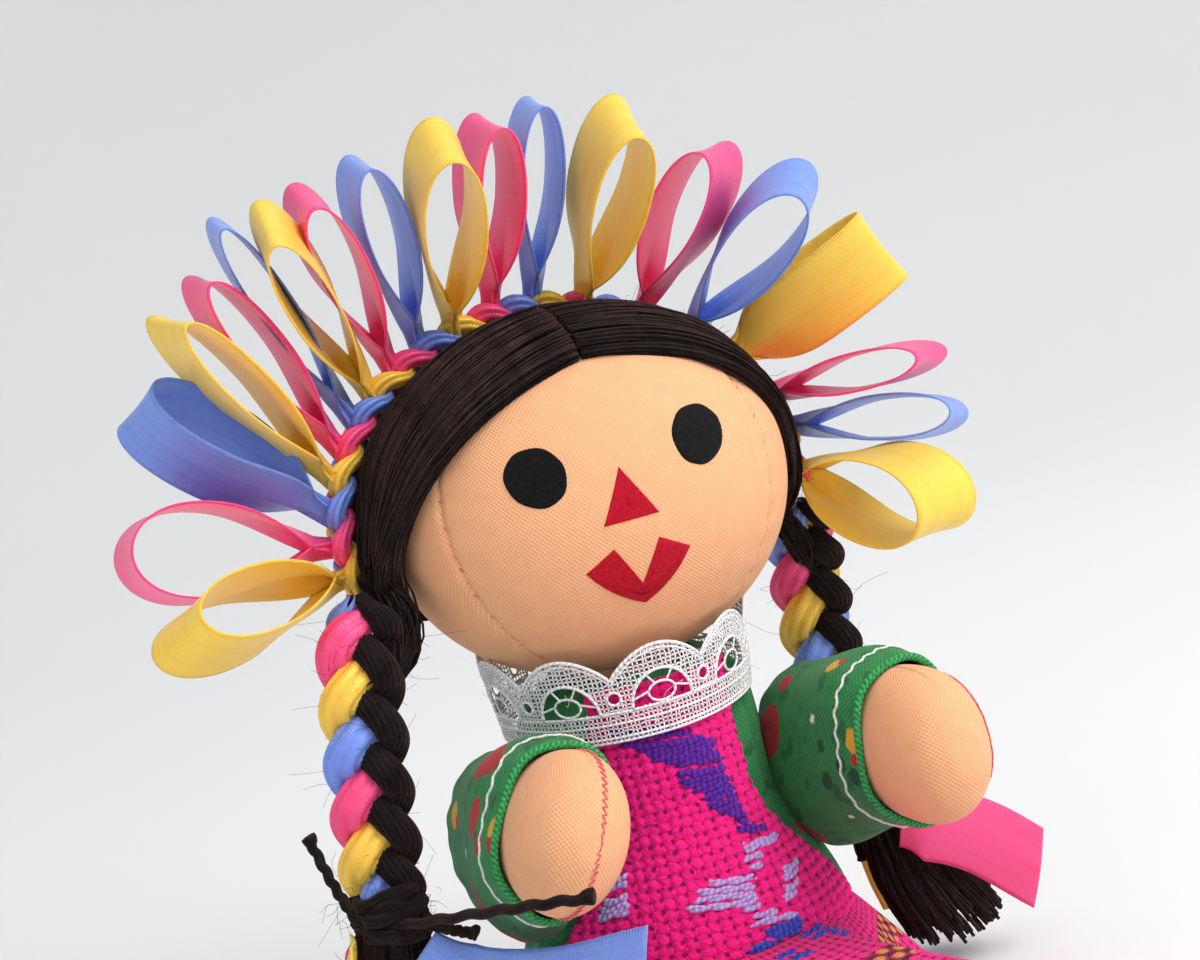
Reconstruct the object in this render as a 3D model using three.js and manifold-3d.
// A traditional stuffed cloth doll, sitting on the floor with its legs forward under a woven skirt.
// Each sewn or stuffed piece is a solid of its own. Millimetres, +X is the doll's left, -Y its front,
// +Z up, and the origin is under the middle of its seat.

import * as THREE from "three";
import { mergeVertices } from "three/addons/utils/BufferGeometryUtils.js";
import Module from "manifold-3d";

const wasm = await Module();
wasm.setup();

// Driving dimensions
const GAP = 0.3;
const CLOTH = 0.8;
const SOCKET = 0.6;
const FILL = 0.7;

const HEAD = { x: 28.4, y: 23, z: 24.6, centre: 88, seam: 56.5 };
const NECK = { pivot: 66, ball: 9, stem: 7.8, foot: 50.6 };
const FELT = { thick: 0.8, eye: 4.4, eyeOut: 11.8, eyeUp: 7.2 };
const HAIR = { x: 33.6, y: 27, z: 27.5, front: -15.2, nape: -15 };
const CROWN = { ear: 5, lean: 0.37, skew: 0.09, radius: 2.6, from: -14, to: 190 };
const RIBBON = { width: 12.5, tail: 9, thick: 0.5, pinch: 0.4, legs: 0.6, stand: 1.5 };

const TORSO = { depth: 0.9, seat: 14.5, hip: 19, waist: 14.9, shoulder: 57.5 };
const BLOUSE = { radius: 16.8, depth: 0.95, hem: 26.2, top: 65, thick: 0.9 };
const BIB = { top: 64, bottom: 26.6, half: 10, flare: 16.4, flareFrom: 42, thick: 0.9 };
const COLLAR = { inner: 18.4, flare: 0.5, thick: 0.8, bottom: 56, top: 68.4 };
const SKIRT = {
  waist: 18.4, waistUp: 25.8, thick: 1, folds: 13,
  hemUp: 1, overLegs: 19.2, front: 54, sides: 36, shorter: 2,
};

const SHOULDER = { x: 24.5, y: -4, z: 47.5, ball: 9.8 };
const ARM = { hem: 25, tip: 38.5, long: 11.1, short: 7.8, sleeveLong: 13, sleeveShort: 9.6 };
const HIP = { x: 10.5, y: -11, z: 8.8, ball: 8.3 };
const LEG = { length: 50, knee: 7, ankle: 6.2, splay: 6 };
const SHOE = { half: 7.2, long: 10.2, deep: 6, sole: 54 };
const BRAID = { wide: 5.6, deep: 4.4, waist: 2.8, tied: 0.955 };
const TIE = { ring: 4.4, yarn: 1 };
const TASSEL = { neck: 3, wide: 6.4, deep: 5.6 };

// Room left round a shoulder ball where the blouse, bib and collar are cut away.
const ARMHOLE = 2.4;

const ARM_POSE = {
  right: { side: -1, yaw: 7.5, pitch: -6, twist: 26 },
  left: { side: 1, yaw: 13, pitch: 0, twist: 0 },
};

// Routes of the hanging braids: the braid, its tassel, the loose ends of its yarn tie and its three
// ribbon tails, each tail with the direction that its width lies in.
const BRAIDS = {
  right: {
    route: [[-37.4, -9, 81.5], [-39.5, -11.5, 74], [-41.8, -13, 60], [-43.2, -13.2, 46], [-43.6, -13, 40]],
    tassel: [[-44, -12.8, 39.4], [-45.2, -12.4, 30], [-46, -12, 20]],
    ends: [
      [[-44, -17, 42.3], [-48, -18, 47], [-52.5, -17, 53.5]],
      [[-42, -17, 42], [-36, -30, 40.5], [-31, -44, 43], [-21, -49, 45.5]],
    ],
    tails: {
      blue: {
        route: [[-41, -18, 37.2], [-36, -21, 32.4], [-26, -26, 30.4], [-14, -30, 30.8]],
        width: [0, 0.25, 1],
      },
      yellow: { route: [[-50, -14, 39.4], [-52.5, -13.6, 33], [-54.4, -13, 23]], width: [0.2, 1, 0] },
      pink: { route: [[-44, -6.5, 39], [-46, -3, 30], [-47.5, -1, 20]], width: [1, 0, 0] },
    },
  },
  left: {
    route: [[33.5, 9, 74.3], [34, 12.4, 64], [34.5, 13.5, 50], [36, 12.6, 36], [37, 11.6, 27]],
    tassel: [[37.3, 11.4, 26.4], [40, 10.4, 16], [44.4, 9.4, 6]],
    ends: [
      [[40, 14.5, 28.5], [45.5, 14.6, 28], [51.5, 14.2, 22]],
      [[34, 15.5, 28.5], [31, 18.5, 25], [30, 20, 17]],
    ],
    tails: {
      pink: {
        route: [[37, 4.4, 25.3], [41, 3.5, 23.4], [48.4, 3, 18.8], [56.7, 2.6, 12.6]],
        width: [0.54, 0, 0.84],
      },
      yellow: { route: [[37, 17.6, 23], [38, 19.6, 15], [39, 20.6, 7]], width: [1, 0, 0] },
      blue: { route: [[44.4, 16.6, 23], [46.8, 18.2, 15], [49, 19, 7]], width: [1, 0, 0] },
    },
  },
};

// Each loop of the crown: where it stands on the crown and where it points, in degrees from +X, how far
// it leans forward, then its length, half width and how far it is turned about its own length.
const LOOPS = [
  { at: 184.6, aim: 177, lean: 33, reach: 28.5, half: 3.5, turn: 20 },
  { at: 177.2, aim: 165.5, lean: 4, reach: 26, half: 4.9, turn: 10 },
  { at: 170.2, aim: 139, lean: -2, reach: 27, half: 3.0, turn: 32 },
  { at: 162.4, aim: 122.5, lean: 14, reach: 30, half: 1.9, turn: 10 },
  { at: 154.6, aim: 115.8, lean: 7, reach: 28, half: 2.0, turn: 5 },
  { at: 146.8, aim: 110, lean: 5, reach: 29.5, half: 1.9, turn: -2 },
  { at: 138.2, aim: 107.5, lean: 27, reach: 29.5, half: 2.1, turn: -8 },
  { at: 129.7, aim: 102, lean: 16, reach: 26.4, half: 2.2, turn: -6 },
  { at: 120.5, aim: 93, lean: 11.5, reach: 25.2, half: 2.5, turn: 1 },
  { at: 110.6, aim: 86, lean: 31, reach: 28.5, half: 3.0, turn: -1 },
  { at: 98.6, aim: 79, lean: 11.7, reach: 25.2, half: 2.8, turn: 0 },
  { at: 86.2, aim: 75.5, lean: 9.6, reach: 26, half: 2.7, turn: 4 },
  { at: 71, aim: 72, lean: 31, reach: 27.5, half: 4.0, turn: 6 },
  { at: 53, aim: 58.5, lean: 24, reach: 23.5, half: 3.8, turn: -26 },
  { at: 38, aim: 51.5, lean: 35, reach: 25.5, half: 4.2, turn: -10 },
  { at: 24, aim: 28, lean: 22, reach: 22.5, half: 2.4, turn: -84 },
  { at: 11.1, aim: 10.5, lean: 43, reach: 21.2, half: 2.6, turn: -12 },
  { at: 0.8, aim: -3, lean: 34, reach: 21.2, half: 3, turn: -10 },
  { at: -10.4, aim: -30, lean: 60, reach: 25, half: 5.2, turn: 20 },
];
const RIBBON_ORDER = ["yellow", "pink", "blue"];

const FINISH = {
  skin: [0xeaa986, 0.9],
  stuffing: [0xf2efe6, 0.95],
  print: [0x1f7a3d, 0.85],
  lace: [0xf4f2f4, 0.85],
  woven: [0xd81274, 0.9],
  yarn: [0x14120f, 0.95],
  blackFelt: [0x101010, 0.95],
  redFelt: [0xb11526, 0.95],
  pink: [0xf2457e, 0.4],
  yellow: [0xe9b53c, 0.4],
  blue: [0x6c8fd8, 0.4],
};

const RAD = Math.PI / 180;
const doll = new THREE.Group();

// Helpers: closed surfaces, solids and placed meshes

// A material of its own for one piece, from the table of finishes.
function finish(name) {
  const [color, roughness] = FINISH[name];
  return new THREE.MeshStandardMaterial({ color, roughness, metalness: 0 });
}

function place(name, geometry, look, parent = doll) {
  const mesh = new THREE.Mesh(geometry, finish(look));
  mesh.name = name;
  parent.add(mesh);
}

// Only positions and shared vertices, with empty triangles dropped and the faces turned outwards.
function closed(geometry) {
  const bare = geometry.clone();
  for (const extra of ["normal", "uv"]) {
    bare.deleteAttribute(extra);
  }
  const merged = mergeVertices(bare, 1e-4);
  const position = merged.attributes.position;
  const corners = [new THREE.Vector3(), new THREE.Vector3(), new THREE.Vector3()];
  const index = [];
  let volume = 0;
  for (let start = 0; start < merged.index.count; start += 3) {
    const [a, b, c] = [0, 1, 2].map((step) => merged.index.getX(start + step));
    if (a === b || b === c || c === a) {
      continue;
    }
    [a, b, c].forEach((vertex, step) => corners[step].fromBufferAttribute(position, vertex));
    volume += corners[0].dot(corners[1].cross(corners[2]));
    index.push(a, b, c);
  }
  merged.setIndex(volume < 0 ? index.reverse() : index);
  return merged;
}

function solid(geometry) {
  const whole = closed(geometry);
  return new wasm.Manifold(new wasm.Mesh({
    numProp: 3,
    vertProperties: new Float32Array(whole.attributes.position.array),
    triVerts: new Uint32Array(whole.index.array),
  }));
}

function surface(body) {
  const mesh = body.getMesh();
  const geometry = new THREE.BufferGeometry();
  geometry.setAttribute("position", new THREE.BufferAttribute(mesh.vertProperties, 3));
  geometry.setIndex(new THREE.BufferAttribute(mesh.triVerts, 1));
  return geometry;
}

function ellipsoid(x, y, z, height, around = 22, down = 11) {
  const ball = new THREE.SphereGeometry(1, around, down).rotateX(Math.PI / 2);
  return solid(ball.scale(x, y, z).translate(0, 0, height));
}

function ball(radius, x, y, z, around = 16) {
  return solid(new THREE.SphereGeometry(radius, around, around / 2).rotateX(Math.PI / 2).translate(x, y, z));
}

function box(low, high) {
  const size = high.map((value, axis) => value - low[axis]);
  const middle = high.map((value, axis) => (value + low[axis]) / 2);
  return solid(new THREE.BoxGeometry(...size).translate(...middle));
}

// A [radius, height] profile turned about the upright axis, with its depth scaled.
function turned(profile, around, depth = 1) {
  const points = profile.map(([radius, height]) => new THREE.Vector2(radius, height));
  return new THREE.LatheGeometry(points, around).rotateX(Math.PI / 2).scale(1, depth, 1);
}

// Points on a smooth line through a [radius, height] profile.
function smooth(profile, count) {
  const line = new THREE.SplineCurve(profile.map(([radius, height]) => new THREE.Vector2(radius, height)));
  return line.getPoints(count).map((point) => [Math.max(point.x, 0), point.y]);
}

// An outline drawn in X and Z, pushed forward through everything in front of the upright axis.
function frontPrism(outline, reach = 60) {
  const flat = { depth: reach, bevelEnabled: false, curveSegments: 10 };
  return solid(new THREE.ExtrudeGeometry(outline, flat).rotateX(Math.PI / 2));
}

// An outline from [x, y] points.
function outline(points) {
  return new THREE.Shape(points.map(([x, y]) => new THREE.Vector2(x, y)));
}

// A closed surface through rings of points: capped at both ends, or joined last to first.
function skin(rings, joined = false) {
  const count = rings[0].length;
  const rows = joined ? rings.length : rings.length - 1;
  const points = rings.flat();
  const index = [];
  for (let row = 0; row < rows; row += 1) {
    const next = (row + 1) % rings.length;
    for (let step = 0; step < count; step += 1) {
      const side = (step + 1) % count;
      const [a, b] = [row * count + step, row * count + side];
      const [c, d] = [next * count + side, next * count + step];
      index.push(a, b, c, a, c, d);
    }
  }
  if (!joined) {
    for (const [row, order] of [[0, [1, 0]], [rings.length - 1, [0, 1]]]) {
      const middle = points.length;
      const sum = rings[row].reduce((total, point) => total.add(point), new THREE.Vector3());
      points.push(sum.divideScalar(count));
      for (let step = 0; step < count; step += 1) {
        const pair = [row * count + step, row * count + (step + 1) % count];
        index.push(middle, pair[order[0]], pair[order[1]]);
      }
    }
  }
  const geometry = new THREE.BufferGeometry().setFromPoints(points);
  geometry.setIndex(index);
  return closed(geometry);
}

// A limb along -Y: [distance, long half, short half] stations joined by a smooth line of ellipses,
// which turn about the limb's length by up to twist degrees on the way to its end.
function limb(stations, rings, around, twist = 0) {
  const line = new THREE.CatmullRomCurve3(stations.map((station) => new THREE.Vector3(...station)));
  const upright = new THREE.Vector3(0, 1, 0);
  const rows = line.getPoints(rings).map(({ x: distance, y: long, z: short }) => {
    const turn = twist * RAD * THREE.MathUtils.smoothstep(distance, 4, ARM.hem);
    const ring = [];
    for (let step = 0; step < around; step += 1) {
      const angle = step * 2 * Math.PI / around;
      const point = new THREE.Vector3(short * Math.cos(angle), -distance, long * Math.sin(angle));
      ring.push(point.applyAxisAngle(upright, turn));
    }
    return ring;
  });
  return skin(rows);
}

// The same limb's stations, drawn in by a margin all over.
function inset(stations, margin) {
  const [first, last] = [stations[0][0], stations.at(-1)[0]];
  const shrink = 1 - 2 * margin / (last - first);
  return stations.map(([distance, long, short]) => [
    first + margin + (distance - first) * shrink, Math.max(long - margin, 0.4), Math.max(short - margin, 0.4),
  ]);
}

// An oval tube along a smooth line of points; size(t) gives its half width and half depth.
function tube(points, steps, around, size, across = new THREE.Vector3(1, 0, 0)) {
  const line = new THREE.CatmullRomCurve3(points.map((point) => new THREE.Vector3(...point)));
  const rings = [];
  for (let row = 0; row <= steps; row += 1) {
    const t = row / steps;
    const centre = line.getPoint(t);
    const tangent = line.getTangent(t);
    const depthways = new THREE.Vector3().crossVectors(tangent, across).normalize();
    const wideways = new THREE.Vector3().crossVectors(depthways, tangent);
    const [wide, deep] = size(t);
    const ring = [];
    for (let step = 0; step < around; step += 1) {
      const angle = step * 2 * Math.PI / around;
      const point = centre.clone().addScaledVector(wideways, wide * Math.cos(angle));
      ring.push(point.addScaledVector(depthways, deep * Math.sin(angle)));
    }
    rings.push(ring);
  }
  return skin(rings);
}

// A tail of ribbon, creased lengthways so that it lies narrower, along a smooth line of points, with
// its width along the given direction.
function ribbon(points, steps, widthways) {
  const line = new THREE.CatmullRomCurve3(points.map((point) => new THREE.Vector3(...point)));
  const across = new THREE.Vector3(...widthways).normalize();
  const rings = [];
  for (let row = 0; row <= steps; row += 1) {
    const centre = line.getPoint(row / steps);
    const tangent = line.getTangent(row / steps);
    const face = new THREE.Vector3().crossVectors(tangent, across).normalize();
    const edge = new THREE.Vector3().crossVectors(face, tangent);
    rings.push(ribbonSection(centre, edge, face, RIBBON.tail));
  }
  return skin(rings);
}

function ribbonSection(centre, edge, face, width) {
  const corners = [[1, 1], [-1, 1], [-1, -1], [1, -1]];
  return corners.map(([along, through]) => centre.clone()
    .addScaledVector(edge, along * width / 2)
    .addScaledVector(face, through * RIBBON.thick / 2));
}

// Head: a ball of three gores on stuffing, turning on the ball of the neck

const headOuter = ellipsoid(HEAD.x, HEAD.y, HEAD.z, HEAD.centre);
const headInner = ellipsoid(HEAD.x - CLOTH, HEAD.y - CLOTH, HEAD.z - CLOTH, HEAD.centre);
const neckSocket = ball(NECK.ball + SOCKET, 0, 0, NECK.pivot);

// The space between two upright planes through the head's axis, at angles from +X in degrees.
function gore(from, to) {
  const reach = 60;
  const middle = (from + to) / 2 * RAD;
  const shift = GAP / 2 / Math.sin((to - from) / 2 * RAD);
  const sector = new THREE.Shape();
  sector.moveTo(0, 0);
  sector.lineTo(reach * Math.cos(from * RAD), reach * Math.sin(from * RAD));
  sector.absarc(0, 0, reach, from * RAD, to * RAD, false);
  sector.closePath();
  const slab = new THREE.ExtrudeGeometry(sector, { depth: 2 * HEAD.centre, bevelEnabled: false });
  return solid(slab.translate(shift * Math.cos(middle), shift * Math.sin(middle), 0));
}

function buildHead() {
  const shell = headOuter.subtract(headInner).subtract(neckSocket);
  const front = 270;
  const gores = {
    face_panel: [front - HEAD.seam, front + HEAD.seam],
    head_panel_left: [front - 360 + HEAD.seam, 90],
    head_panel_right: [90, front - HEAD.seam],
  };
  for (const [name, [from, to]] of Object.entries(gores)) {
    place(name, surface(shell.intersect(gore(from, to))), "skin");
  }
  const filled = CLOTH + FILL;
  const stuffing = ellipsoid(HEAD.x - filled, HEAD.y - filled, HEAD.z - filled, HEAD.centre, 20, 10);
  place("head_stuffing", surface(stuffing.subtract(neckSocket)), "stuffing");
}

// Face: felt shapes cut flat and laid on the front gore
function buildFace() {
  const low = GAP;
  const high = GAP + FELT.thick;
  const layer = ellipsoid(HEAD.x + high, HEAD.y + high, HEAD.z + high, HEAD.centre)
    .subtract(ellipsoid(HEAD.x + low, HEAD.y + low, HEAD.z + low, HEAD.centre));
  const lay = (name, shape, look) => {
    const cut = frontPrism(shape).translate([0, 0, HEAD.centre]);
    place(name, surface(layer.intersect(cut)), look);
  };
  for (const [name, side] of [["eye_right", -1], ["eye_left", 1]]) {
    const disc = new THREE.Shape().absarc(side * FELT.eyeOut, FELT.eyeUp, FELT.eye, 0, 2 * Math.PI);
    lay(name, disc, "blackFelt");
  }
  lay("nose", outline([[-3.9, -0.6], [3.9, -0.6], [0, 6.4]]), "redFelt");
  const mouth = outline([[-7.4, -6.7], [-3.2, -4.2], [0, -9.9], [3.2, -4.2], [7.4, -6.7]]);
  mouth.quadraticCurveTo(4.6, -10.8, 0, -12.8);
  mouth.quadraticCurveTo(-4.6, -10.8, -7.4, -6.7);
  lay("mouth", mouth, "redFelt");
}

// Hair: a thick yarn cap, cut back from the face and drawn away from the jaw
function buildHair() {
  const cap = ellipsoid(HAIR.x, HAIR.y, HAIR.z, HEAD.centre)
    .subtract(ellipsoid(HEAD.x + GAP, HEAD.y + GAP, HEAD.z + GAP, HEAD.centre));
  const side = outline([
    [HAIR.front, 40], [HAIR.front, 5], [-12.5, -1], [-4, -8], [6, HAIR.nape], [40, HAIR.nape], [40, 40],
  ]);
  const reach = 2 * HAIR.x + 10;
  const keep = new THREE.ExtrudeGeometry(side, { depth: reach, bevelEnabled: false })
    .rotateX(Math.PI / 2)
    .rotateZ(Math.PI / 2)
    .translate(-reach / 2, 0, HEAD.centre);
  place("hair", surface(cap.intersect(solid(keep))), "yarn");
}

// Crown: a ribbon braid over the head from ear to ear, and the loops that stand on it

// A point of the crown's centre line, at an angle from +X in degrees: the hair's ellipsoid, swollen by
// the braid's radius and a gap, is cut by a plane that leans back from the ears and lies a little askew.
function crownPoint(angle) {
  const off = CROWN.radius + SOCKET;
  const up = (HAIR.z + off) * Math.sin(angle * RAD);
  const across = (HAIR.x + off) * Math.cos(angle * RAD);
  const back = CROWN.ear + CROWN.lean * up + CROWN.skew * across;
  const drawn = Math.sqrt(1 - (back / (HAIR.y + off)) ** 2);
  return new THREE.Vector3(across * drawn, back, HEAD.centre + up * drawn);
}

function buildCrown() {
  const steps = 26;
  const route = [];
  for (let step = 0; step <= steps; step += 1) {
    const angle = CROWN.from + (CROWN.to - CROWN.from) * step / steps;
    route.push(crownPoint(angle).toArray());
  }
  const round = () => [CROWN.radius, CROWN.radius];
  place("crown_braid", tube(route, steps, 8, round, new THREE.Vector3(0, 1, 0)), "pink");
}

// One teardrop of ribbon: along = reach (1 - cos a) / 2 and side = half sin a sin(a / 2), with the two
// legs held a little apart at the foot, for a from just after 0 to just before a full turn.
function ribbonLoop({ at, aim, lean, reach, half, turn }) {
  const steps = 14;
  const start = 0.05;
  const [rise, run] = [Math.sin(aim * RAD), Math.cos(aim * RAD)];
  const along = new THREE.Vector3(run, 0, rise)
    .multiplyScalar(Math.cos(lean * RAD))
    .add(new THREE.Vector3(0, -Math.sin(lean * RAD), 0));
  const side = new THREE.Vector3(-rise, 0, run);
  side.applyAxisAngle(along, turn * RAD);
  const edge = new THREE.Vector3().crossVectors(along, side).normalize();
  const foot = crownPoint(at).addScaledVector(along, CROWN.radius + RIBBON.stand);
  const point = (t) => {
    const angle = 2 * Math.PI * t;
    const out = reach * (1 - Math.cos(angle)) / 2;
    const apart = half * Math.sin(angle) * Math.sin(angle / 2) * 1.3 + RIBBON.legs * Math.cos(angle / 2);
    return foot.clone().addScaledVector(along, out).addScaledVector(side, apart);
  };
  const rings = [];
  for (let step = 0; step <= steps; step += 1) {
    const t = start + (1 - 2 * start) * step / steps;
    const tangent = point(t + 0.01).sub(point(t - 0.01)).normalize();
    const face = new THREE.Vector3().crossVectors(tangent, edge).normalize();
    const open = THREE.MathUtils.smoothstep(Math.min(t, 1 - t), start, 0.3);
    const width = RIBBON.width * THREE.MathUtils.lerp(RIBBON.pinch, 1, open);
    rings.push(ribbonSection(point(t), edge, face, width));
  }
  return skin(rings);
}

function buildLoops() {
  LOOPS.forEach((loop, step) => {
    const name = `loop_${String(step + 1).padStart(2, "0")}`;
    place(name, ribbonLoop(loop), RIBBON_ORDER[step % RIBBON_ORDER.length]);
  });
}

// Hanging braids, each with its yarn tie, tassel and three ribbon tails
function buildBraid(side, { route, tassel, ends, tails }) {
  const { lerp, smoothstep } = THREE.MathUtils;
  const flat = (t) => {
    const drawnIn = smoothstep(t, 0.72, 0.88);
    return [lerp(BRAID.wide, BRAID.waist, drawnIn), lerp(BRAID.deep, BRAID.waist, drawnIn)];
  };
  place(`braid_${side}`, tube(route, 14, 10, flat), "yarn");

  const line = new THREE.CatmullRomCurve3(route.map((point) => new THREE.Vector3(...point)));
  const knot = new THREE.Group();
  knot.position.copy(line.getPoint(BRAID.tied));
  knot.quaternion.setFromUnitVectors(new THREE.Vector3(0, 0, 1), line.getTangent(BRAID.tied));
  knot.updateMatrix();
  const ring = new THREE.TorusGeometry(TIE.ring, TIE.yarn, 6, 14).applyMatrix4(knot.matrix);
  let tie = solid(ring);
  for (const end of ends) {
    tie = tie.add(solid(tube(end, 6, 6, () => [TIE.yarn, TIE.yarn], new THREE.Vector3(0, 1, 1))));
  }
  place(`braid_tie_${side}`, surface(tie), "yarn");

  const brush = (t) => [TASSEL.wide, TASSEL.deep].map((half) => lerp(TASSEL.neck, half, Math.sqrt(t)));
  place(`tassel_${side}`, tube(tassel, 6, 10, brush), "yarn");
  for (const [look, tail] of Object.entries(tails)) {
    place(`tail_${look}_${side}`, ribbon(tail.route, 8, tail.width), look);
  }
}

// Body: a pear of cloth with a flat seat, cut for the neck, the shoulders and the hips

function sockets(body, margin) {
  let cut = body;
  for (const side of [-1, 1]) {
    cut = cut.subtract(ball(SHOULDER.ball + SOCKET + margin, side * SHOULDER.x, SHOULDER.y, SHOULDER.z));
    cut = cut.subtract(ball(HIP.ball + SOCKET + margin, side * HIP.x, HIP.y, HIP.z));
    const room = HIP.ball + 2 * SOCKET + margin;
    const thigh = new THREE.CylinderGeometry(room, room, 3 * room, 16);
    cut = cut.subtract(solid(thigh.translate(side * HIP.x, HIP.y - 1.5 * room, HIP.z)));
    const swing = [[side * HIP.x - room, HIP.y - 2 * room, -1], [side * HIP.x + room, HIP.y + room, HIP.z]];
    cut = cut.subtract(box(...swing));
  }
  return cut;
}

function pear(margin) {
  const side = smooth([
    [TORSO.seat - margin, margin], [TORSO.hip - 1.2 - margin, 2 + margin], [TORSO.hip - margin, 8],
    [TORSO.hip - 2 - margin, 16], [TORSO.waist - margin, 27], [TORSO.waist - margin, 44],
    [TORSO.waist - 0.6 - margin, TORSO.shoulder - 4], [NECK.stem + 2 - margin, TORSO.shoulder - margin],
  ], 11);
  return solid(turned([[0, margin], ...side, [0, TORSO.shoulder - margin]], 18, TORSO.depth));
}

function buildBody() {
  const hole = NECK.stem + SOCKET;
  const [floor, above] = [NECK.foot - SOCKET, NECK.pivot];
  const throat = solid(turned([[0, floor], [hole, floor], [hole, above], [0, above]], 20));
  place("torso_skin", surface(sockets(pear(0).subtract(pear(CLOTH)).subtract(throat), 0)), "skin");
  place("torso_stuffing", surface(sockets(pear(CLOTH + FILL), CLOTH).subtract(throat)), "stuffing");

  const dome = [];
  const lowest = -Math.acos(NECK.stem / NECK.ball);
  for (let step = 0; step <= 8; step += 1) {
    const angle = lowest + (Math.PI / 2 - lowest) * step / 8;
    dome.push([NECK.ball * Math.cos(angle), NECK.pivot + NECK.ball * Math.sin(angle)]);
  }
  place("neck", closed(turned([[0, NECK.foot], [NECK.stem, NECK.foot], ...dome], 20)), "skin");
}

// Clothes

// A tube of cloth round the body: outer radius, thickness and two heights.
function band(radius, thick, bottom, top, depth, flare = 0) {
  const wall = [
    [radius, bottom], [radius + flare, top], [radius + flare - thick, top], [radius - thick, bottom],
  ];
  return solid(turned([...wall, wall[0]], 32, depth));
}

function buildClothes() {
  const blouse = band(BLOUSE.radius, BLOUSE.thick, BLOUSE.hem, BLOUSE.top, BLOUSE.depth);
  place("blouse_body", surface(sockets(blouse, ARMHOLE)), "print");

  const over = BLOUSE.radius + GAP + BIB.thick;
  const front = band(over, BIB.thick, BIB.bottom, BIB.top, BLOUSE.depth);
  const panel = outline([
    [-BIB.flare, BIB.bottom - 1], [BIB.flare, BIB.bottom - 1], [BIB.half, BIB.flareFrom],
    [BIB.half, BIB.top + 1], [-BIB.half, BIB.top + 1], [-BIB.half, BIB.flareFrom],
  ]);
  place("bib", surface(sockets(front.intersect(frontPrism(panel)), ARMHOLE)), "woven");

  const collar = band(COLLAR.inner + COLLAR.thick, COLLAR.thick, COLLAR.bottom, COLLAR.top, 1, COLLAR.flare);
  place("lace_collar", surface(sockets(collar, ARMHOLE)), "lace");
  place("skirt", buildSkirt(), "woven");
}

// Skirt: at each angle from the front, a wall that leaves the waist and falls to the hem, lying over the
// legs in front and reaching the floor elsewhere, with folds that grow towards the hem.
function buildSkirt() {
  const around = 52;
  const rows = 4;
  const rings = [];
  for (let step = 0; step < around; step += 1) {
    const angle = step * 2 * Math.PI / around;
    const fromFront = Math.abs(Math.atan2(Math.sin(angle), Math.cos(angle))) / RAD;
    const side = THREE.MathUtils.smoothstep(fromFront, 30, 52);
    const back = THREE.MathUtils.smoothstep(fromFront, 80, 180);
    const hemOut = THREE.MathUtils.lerp(SKIRT.front, SKIRT.sides, side) - SKIRT.shorter * back;
    const hemUp = THREE.MathUtils.lerp(SKIRT.overLegs, SKIRT.hemUp, side);
    const wall = (s) => {
      const fold = Math.cos(SKIRT.folds * angle) * s * s * (0.6 + 1.4 * side);
      const out = SKIRT.waist + (hemOut - SKIRT.waist) * s ** 0.9 + fold;
      const up = SKIRT.waistUp + (hemUp - SKIRT.waistUp) * s ** (1 + 0.7 * side);
      return new THREE.Vector2(out, up + (1 - side) * fold * 0.5);
    };
    const section = [];
    for (let row = 0; row <= rows; row += 1) {
      section.push(wall(row / rows));
    }
    for (let row = rows; row >= 0; row -= 1) {
      const s = row / rows;
      const slope = wall(s + 0.01).sub(wall(Math.max(s - 0.01, 0))).normalize();
      const lining = wall(s).add(new THREE.Vector2(slope.y, -slope.x).multiplyScalar(SKIRT.thick));
      lining.y = Math.max(lining.y, SKIRT.hemUp - 0.4);
      section.push(lining);
    }
    rings.push(section.map(({ x, y }) => new THREE.Vector3(x * Math.sin(angle), -x * Math.cos(angle), y)));
  }
  return skin(rings, true);
}

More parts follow.
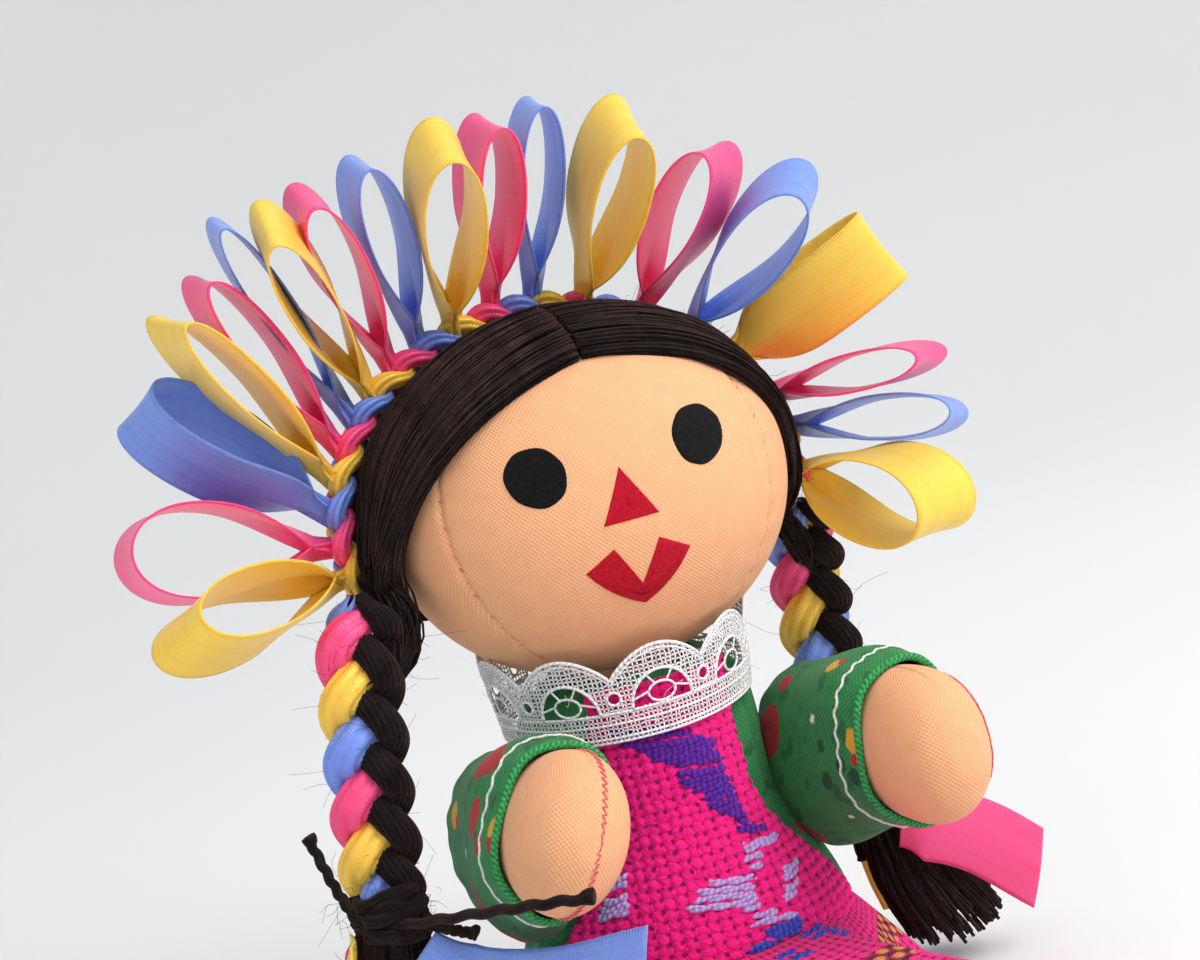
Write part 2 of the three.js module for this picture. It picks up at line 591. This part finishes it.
// Arms: stuffed paddles along -Y, each in a sleeve that is open at the hem and at the armhole
function buildArm(name, { side, yaw, pitch, twist }) {
  const arm = new THREE.Group();
  arm.position.set(side * SHOULDER.x, SHOULDER.y, SHOULDER.z);
  arm.rotation.set(pitch * RAD, 0, yaw * RAD, "ZXY");
  doll.add(arm);

  const paddle = [
    [-5.5, 1.2, 1.2], [-4.6, 4.6, 4.2], [-1.5, 7.4, 6.4], [8, 9.4, 7.2], [20, ARM.long - 0.3, ARM.short],
    [30, ARM.long, ARM.short], [35.6, ARM.long * 0.78, ARM.short * 0.76], [38, 4.4, 3], [ARM.tip, 1.2, 0.9],
  ];
  const sleeve = [
    [-SHOULDER.ball, 0.8, 0.8], [-8.2, 5.4, 5.4], [-4.6, 8.7, 8.7], [0, SHOULDER.ball, SHOULDER.ball],
    [6, SHOULDER.ball + 0.8, SHOULDER.ball - 0.2], [ARM.hem, ARM.sleeveLong, ARM.sleeveShort],
  ];
  const within = inset(sleeve, 1);
  within[within.length - 1][0] = ARM.hem + 1;
  const armhole = [-4.6, 4.6].sort((a, b) => a * side - b * side)[0];
  const opening = new THREE.BoxGeometry(8, 40, 40).translate(armhole + Math.sign(armhole) * 5.4, 0, 0);

  const whole = solid(limb(paddle, 10, 12, twist));
  const hollow = solid(limb(inset(paddle, CLOTH), 10, 12, twist));
  const mouth = new THREE.BoxGeometry(40, 4, 40).translate(0, 4.6, 0);
  place(`arm_${name}_skin`, surface(whole.subtract(hollow).subtract(solid(mouth))), "skin", arm);
  place(`arm_${name}_stuffing`, limb(inset(paddle, FILL + CLOTH), 10, 10, twist), "stuffing", arm);
  const tubeOfCloth = solid(limb(sleeve, 9, 14, twist)).subtract(solid(limb(within, 9, 14, twist)));
  place(`sleeve_${name}`, surface(tubeOfCloth.subtract(solid(opening))), "print", arm);
}

// Legs: stuffed, lying forward on the floor, with a felt shoe whose toe points up
function buildLeg(name, side) {
  const leg = new THREE.Group();
  leg.position.set(side * HIP.x, HIP.y, HIP.z);
  leg.rotation.z = side * LEG.splay * RAD;
  doll.add(leg);

  const round = (distance, radius) => [distance, radius, radius];
  const stocking = [
    round(-HIP.ball, 0.8), round(-6.6, 5), round(-3.4, 7.5), round(0, HIP.ball), round(10, HIP.ball - 0.3),
    round(26, LEG.knee), round(40, LEG.ankle), round(LEG.length - 2, 4.6), round(LEG.length, 1),
  ];
  const whole = solid(limb(stocking, 10, 12));
  const hollow = solid(limb(inset(stocking, CLOTH), 10, 12));
  const mouth = new THREE.BoxGeometry(30, 4, 30).translate(0, 7.4, 0);
  place(`leg_${name}_skin`, surface(whole.subtract(hollow).subtract(solid(mouth))), "skin", leg);
  place(`leg_${name}_stuffing`, limb(inset(stocking, FILL + CLOTH), 10, 10), "stuffing", leg);

  const foot = new THREE.SphereGeometry(1, 16, 10).scale(SHOE.half, SHOE.deep, SHOE.long)
    .translate(0, -LEG.length + 1.4, SHOE.long - SHOE.half - 0.4);
  const floor = new THREE.BoxGeometry(40, 20, 60).translate(0, -SHOE.sole - 10, 0);
  const ankle = solid(limb(inset(stocking, -SOCKET), 10, 12));
  place(`shoe_${name}`, surface(solid(foot).subtract(solid(floor)).subtract(ankle)), "blackFelt", leg);
}

buildHead();
buildFace();
buildHair();
buildCrown();
buildLoops();
for (const [side, braid] of Object.entries(BRAIDS)) {
  buildBraid(side, braid);
}
buildBody();
buildClothes();
for (const [name, pose] of Object.entries(ARM_POSE)) {
  buildArm(name, pose);
  buildLeg(name, pose.side);
}

export default doll;
